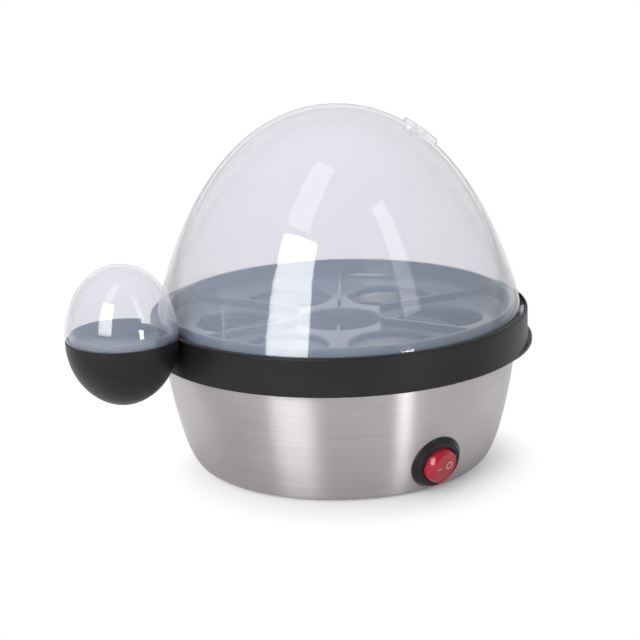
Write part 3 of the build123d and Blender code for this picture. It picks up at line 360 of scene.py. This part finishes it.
# small neon lamp: amber glass with patches of grey soot
def makeLampGlass():
    look = {"glass": (0.80, 0.46, 0.30), "soot": (0.30, 0.20, 0.16), "sootShare": 0.6,
            "patches": 420.0, "sootBand": (0.45, 0.8), "cover": 0.55, "sootCover": 0.3,
            "roughness": 0.08, "roughSpread": 0.2, "depth": 0.00003}
    tree = newFinish("lamp_glass")
    soot = tree.fade(tree.noise(look["patches"]), *look["sootBand"])
    tree.finish(tree.add("BsdfPrincipled", {}, {
        "Base Color": tree.blend(soot * look["sootShare"], look["glass"], look["soot"]),
        "Alpha": look["cover"] + soot * look["sootCover"],
        "Roughness": look["roughness"] + soot * look["roughSpread"],
        "Normal": tree.bump(soot, look["depth"])}))


makeEarthWire()
makeClearPlastic()
makeRockerRed()
makeMarkPrint()
makeLampGlass()

for node in nodes.values():
    for slot in node.material_slots:
        slot.material = finishes[slot.material.name.split(".")[0]]
print("finishes made:", len(finishes))


# the I and O on the rocker: thin prints that lie on the flat face of the cap
def makeMarks():
    size = {"barPlace": -0.0038, "bar": (0.0014, 0.00018), "barSteps": 5,
            "ringPlace": 0.0028, "ringRadius": 0.0018, "ringLine": 0.00019, "ringSteps": 40,
            "rise": 0.0004, "standOff": 0.02, "lift": 0.00003,
            "thickness": 0.00002, "weld": 0.000002}
    pivot = Vector((0.0, -0.077269, 0.015509))
    across = Vector((0.978148, 0.198912, 0.060507))  # towards the O end
    outward = Vector((0.207912, -0.935809, -0.284665))
    upward = outward.cross(across)
    cap = nodes["rocker"].data
    skin = BVHTree.FromPolygons([v.co for v in cap.vertices], [p.vertices for p in cap.polygons])
    lineSides = (-1.0, 0.0, 1.0)

    def onSkin(side, rise):
        start = pivot + across * side + upward * (rise + size["rise"]) + outward * size["standOff"]
        return skin.ray_cast(start, -outward)[0] + outward * size["lift"]

    def ribbon(name, rows):
        shape = bmesh.new()
        corners = [[shape.verts.new(onSkin(*point)) for point in row] for row in rows]
        for first, second in zip(corners, corners[1:]):
            for k in range(len(first) - 1):
                shape.faces.new((first[k], first[k + 1], second[k + 1], second[k]))
        bmesh.ops.remove_doubles(shape, verts=shape.verts, dist=size["weld"])
        bmesh.ops.recalc_face_normals(shape, faces=shape.faces)
        mesh = bpy.data.meshes.new(name)
        shape.to_mesh(mesh)
        shape.free()
        mark = bpy.data.objects.new(name, mesh)
        bpy.context.scene.collection.objects.link(mark)
        mark.data.materials.append(finishes["mark_print"])
        thick = mark.modifiers.new("print", "SOLIDIFY")
        thick.thickness, thick.offset = size["thickness"], 0.0
        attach(mark, "rocker_cap")

    halfWide, halfTall = size["bar"]
    barRises = [halfTall * (k / size["barSteps"] - 1) for k in range(2 * size["barSteps"] + 1)]
    ribbon("on_mark", [[(size["barPlace"] + halfWide * side, rise) for rise in barRises]
                       for side in lineSides])

    turns = [2 * math.pi * k / size["ringSteps"] for k in range(size["ringSteps"] + 1)]
    radii = [size["ringRadius"] + size["ringLine"] * side for side in lineSides]
    ribbon("off_mark", [[(size["ringPlace"] + radius * math.cos(turn), radius * math.sin(turn))
                         for turn in turns] for radius in radii])


makeMarks()
print("marks printed on the rocker")


# white table that keeps the cooker's shadow; away from the cooker it is seen as plain white
def makeFloor():
    look = {"half": 30.0, "level": -0.00002, "colour": (0.86, 0.86, 0.87),
            "lift": 0.14, "gloss": 0.06,
            "shadowMiddle": (-0.003, -0.016, 0.0), "fadeOut": (0.054, 0.088)}
    half, level = look["half"], look["level"]
    mesh = bpy.data.meshes.new("table")
    corners = [(-half, -half, level), (half, -half, level),
               (half, half, level), (-half, half, level)]
    mesh.from_pydata(corners, [], [(0, 1, 2, 3)])
    table = bpy.data.objects.new("table", mesh)
    bpy.context.scene.collection.objects.link(table)
    material = bpy.data.materials.new("table_white")
    mesh.materials.append(material)

    tree = ShaderTree(material)
    seen = tree.ray("Camera")
    glow = seen * look["lift"] + tree.ray("Glossy") * look["gloss"]
    lit = tree.add("AddShader", {}, {0: tree.add("BsdfDiffuse", {}, {"Color": look["colour"]}),
                                     1: tree.add("Emission", {}, {"Strength": glow})})
    white = tree.add("Emission", {}, {"Strength": 1.0})
    away = tree.add("VectorMath", {"operation": "DISTANCE"},
                    {0: tree.place(), 1: look["shadowMiddle"]}, "Value")
    shown = seen + tree.ray("Transmission")
    tree.finish(tree.add("MixShader", {}, {
        0: shown * tree.fade(away, *look["fadeOut"]), 1: lit, 2: white}))


makeFloor()


# soft studio: a white room that is greyer behind the camera, softboxes at the left and the right,
# and one above, behind the cooker, which no shiny face mirrors
def makeLight():
    room = {"grey": (0.30, 0.30, 0.32), "white": (0.84, 0.84, 0.84),
            "brightSide": (0.54, 0.84, 0.15), "turnOver": (-0.6, 0.6),
            "onMatt": 0.55, "inGloss": 0.95}
    world = bpy.data.worlds.new("studio")
    bpy.context.scene.world = world
    tree = ShaderTree(world, "OutputWorld")
    bright = tree.add("VectorMath", {"operation": "DOT_PRODUCT"},
                      {0: tree.add("TexCoord", output="Generated"), 1: room["brightSide"]}, "Value")
    walls = tree.blend(tree.fade(bright, *room["turnOver"]), room["grey"], room["white"])
    strength = room["onMatt"] + tree.ray("Glossy") * (room["inGloss"] - room["onMatt"])
    light = tree.add("Background", {}, {"Color": walls, "Strength": strength})
    backdrop = tree.add("Background", {}, {"Color": (1.0, 1.0, 1.0), "Strength": 1.0})
    shown = tree.ray("Camera") + tree.ray("Transmission")
    tree.finish(tree.add("MixShader", {}, {0: shown, 1: light, 2: backdrop}))

    softboxes = {
        "softbox_left": {
            "azimuth": -66.0, "height": 0.60, "away": 1.15, "size": (0.56, 0.90), "power": 11.5},
        "softbox_upper": {
            "azimuth": -70.0, "height": 1.36, "away": 0.60, "size": (0.38, 0.95), "power": 1.35},
        "softbox_right": {
            "azimuth": 14.0, "height": 1.03, "away": 1.30, "size": (0.30, 1.10), "power": 1.5},
        "strip_low": {
            "azimuth": 5.0, "height": 0.10, "away": 0.90, "size": (0.13, 0.20), "power": 1.35},
        "softbox_top": {
            "azimuth": 150.0, "height": 1.50, "away": 0.35, "size": (1.0, 1.0), "power": 13.0},
    }
    for name, box in softboxes.items():
        lamp = bpy.data.lights.new(name, "AREA")
        lamp.shape = "RECTANGLE"
        lamp.size, lamp.size_y = box["size"]
        lamp.energy = box["power"]
        turn, away = math.radians(box["azimuth"]), box["away"]
        holder = bpy.data.objects.new(name, lamp)
        holder.location = (math.sin(turn) * away, -math.cos(turn) * away, box["height"])
        target = Vector((0.0, 0.0, box["height"] / 2))
        holder.rotation_euler = (target - holder.location).to_track_quat("-Z", "Y").to_euler()
        holder.visible_glossy = name != "softbox_top"
        bpy.context.scene.collection.objects.link(holder)


makeLight()


# long lens; the target lands on this point of the 640 x 640 picture, and the picture leans a little
def makeCamera():
    shot = {"azimuth": -34.1, "elevation": 15.93, "distance": 1.0565, "lean": -1.60,
            "target": (0.0, 0.0, 0.056), "targetPixel": (339.6, 342.4),
            "focalPixels": 2200.0, "width": 640.0, "sensor": 36.0}
    turn, rise, lean = (math.radians(shot[k]) for k in ("azimuth", "elevation", "lean"))
    back = Vector((math.sin(turn) * math.cos(rise), -math.cos(turn) * math.cos(rise),
                   math.sin(rise)))
    forward = -back
    right = Vector((math.cos(turn), math.sin(turn), 0.0))
    up = right.cross(forward)
    leantRight = right * math.cos(lean) + up * math.sin(lean)
    leantUp = up * math.cos(lean) - right * math.sin(lean)
    middle = shot["width"] / 2
    aim = Vector(((shot["targetPixel"][0] - middle) / shot["focalPixels"],
                  (middle - shot["targetPixel"][1]) / shot["focalPixels"], 1.0)).normalized()
    ahead = Vector((0, 0, 1)).rotation_difference(aim).to_matrix()
    rows = ahead @ Matrix((leantRight, leantUp, forward))
    lens = bpy.data.cameras.new("camera")
    lens.sensor_width = shot["sensor"]
    lens.lens = shot["focalPixels"] / shot["width"] * shot["sensor"]
    camera = bpy.data.objects.new("camera", lens)
    place = Matrix.Translation(Vector(shot["target"]) + back * shot["distance"])
    camera.matrix_world = place @ Matrix((rows[0], rows[1], -rows[2])).transposed().to_4x4()
    bpy.context.scene.collection.objects.link(camera)
    bpy.context.scene.camera = camera


makeCamera()
bpy.context.scene.view_settings.view_transform = "Standard"

print("light, camera and table ready")
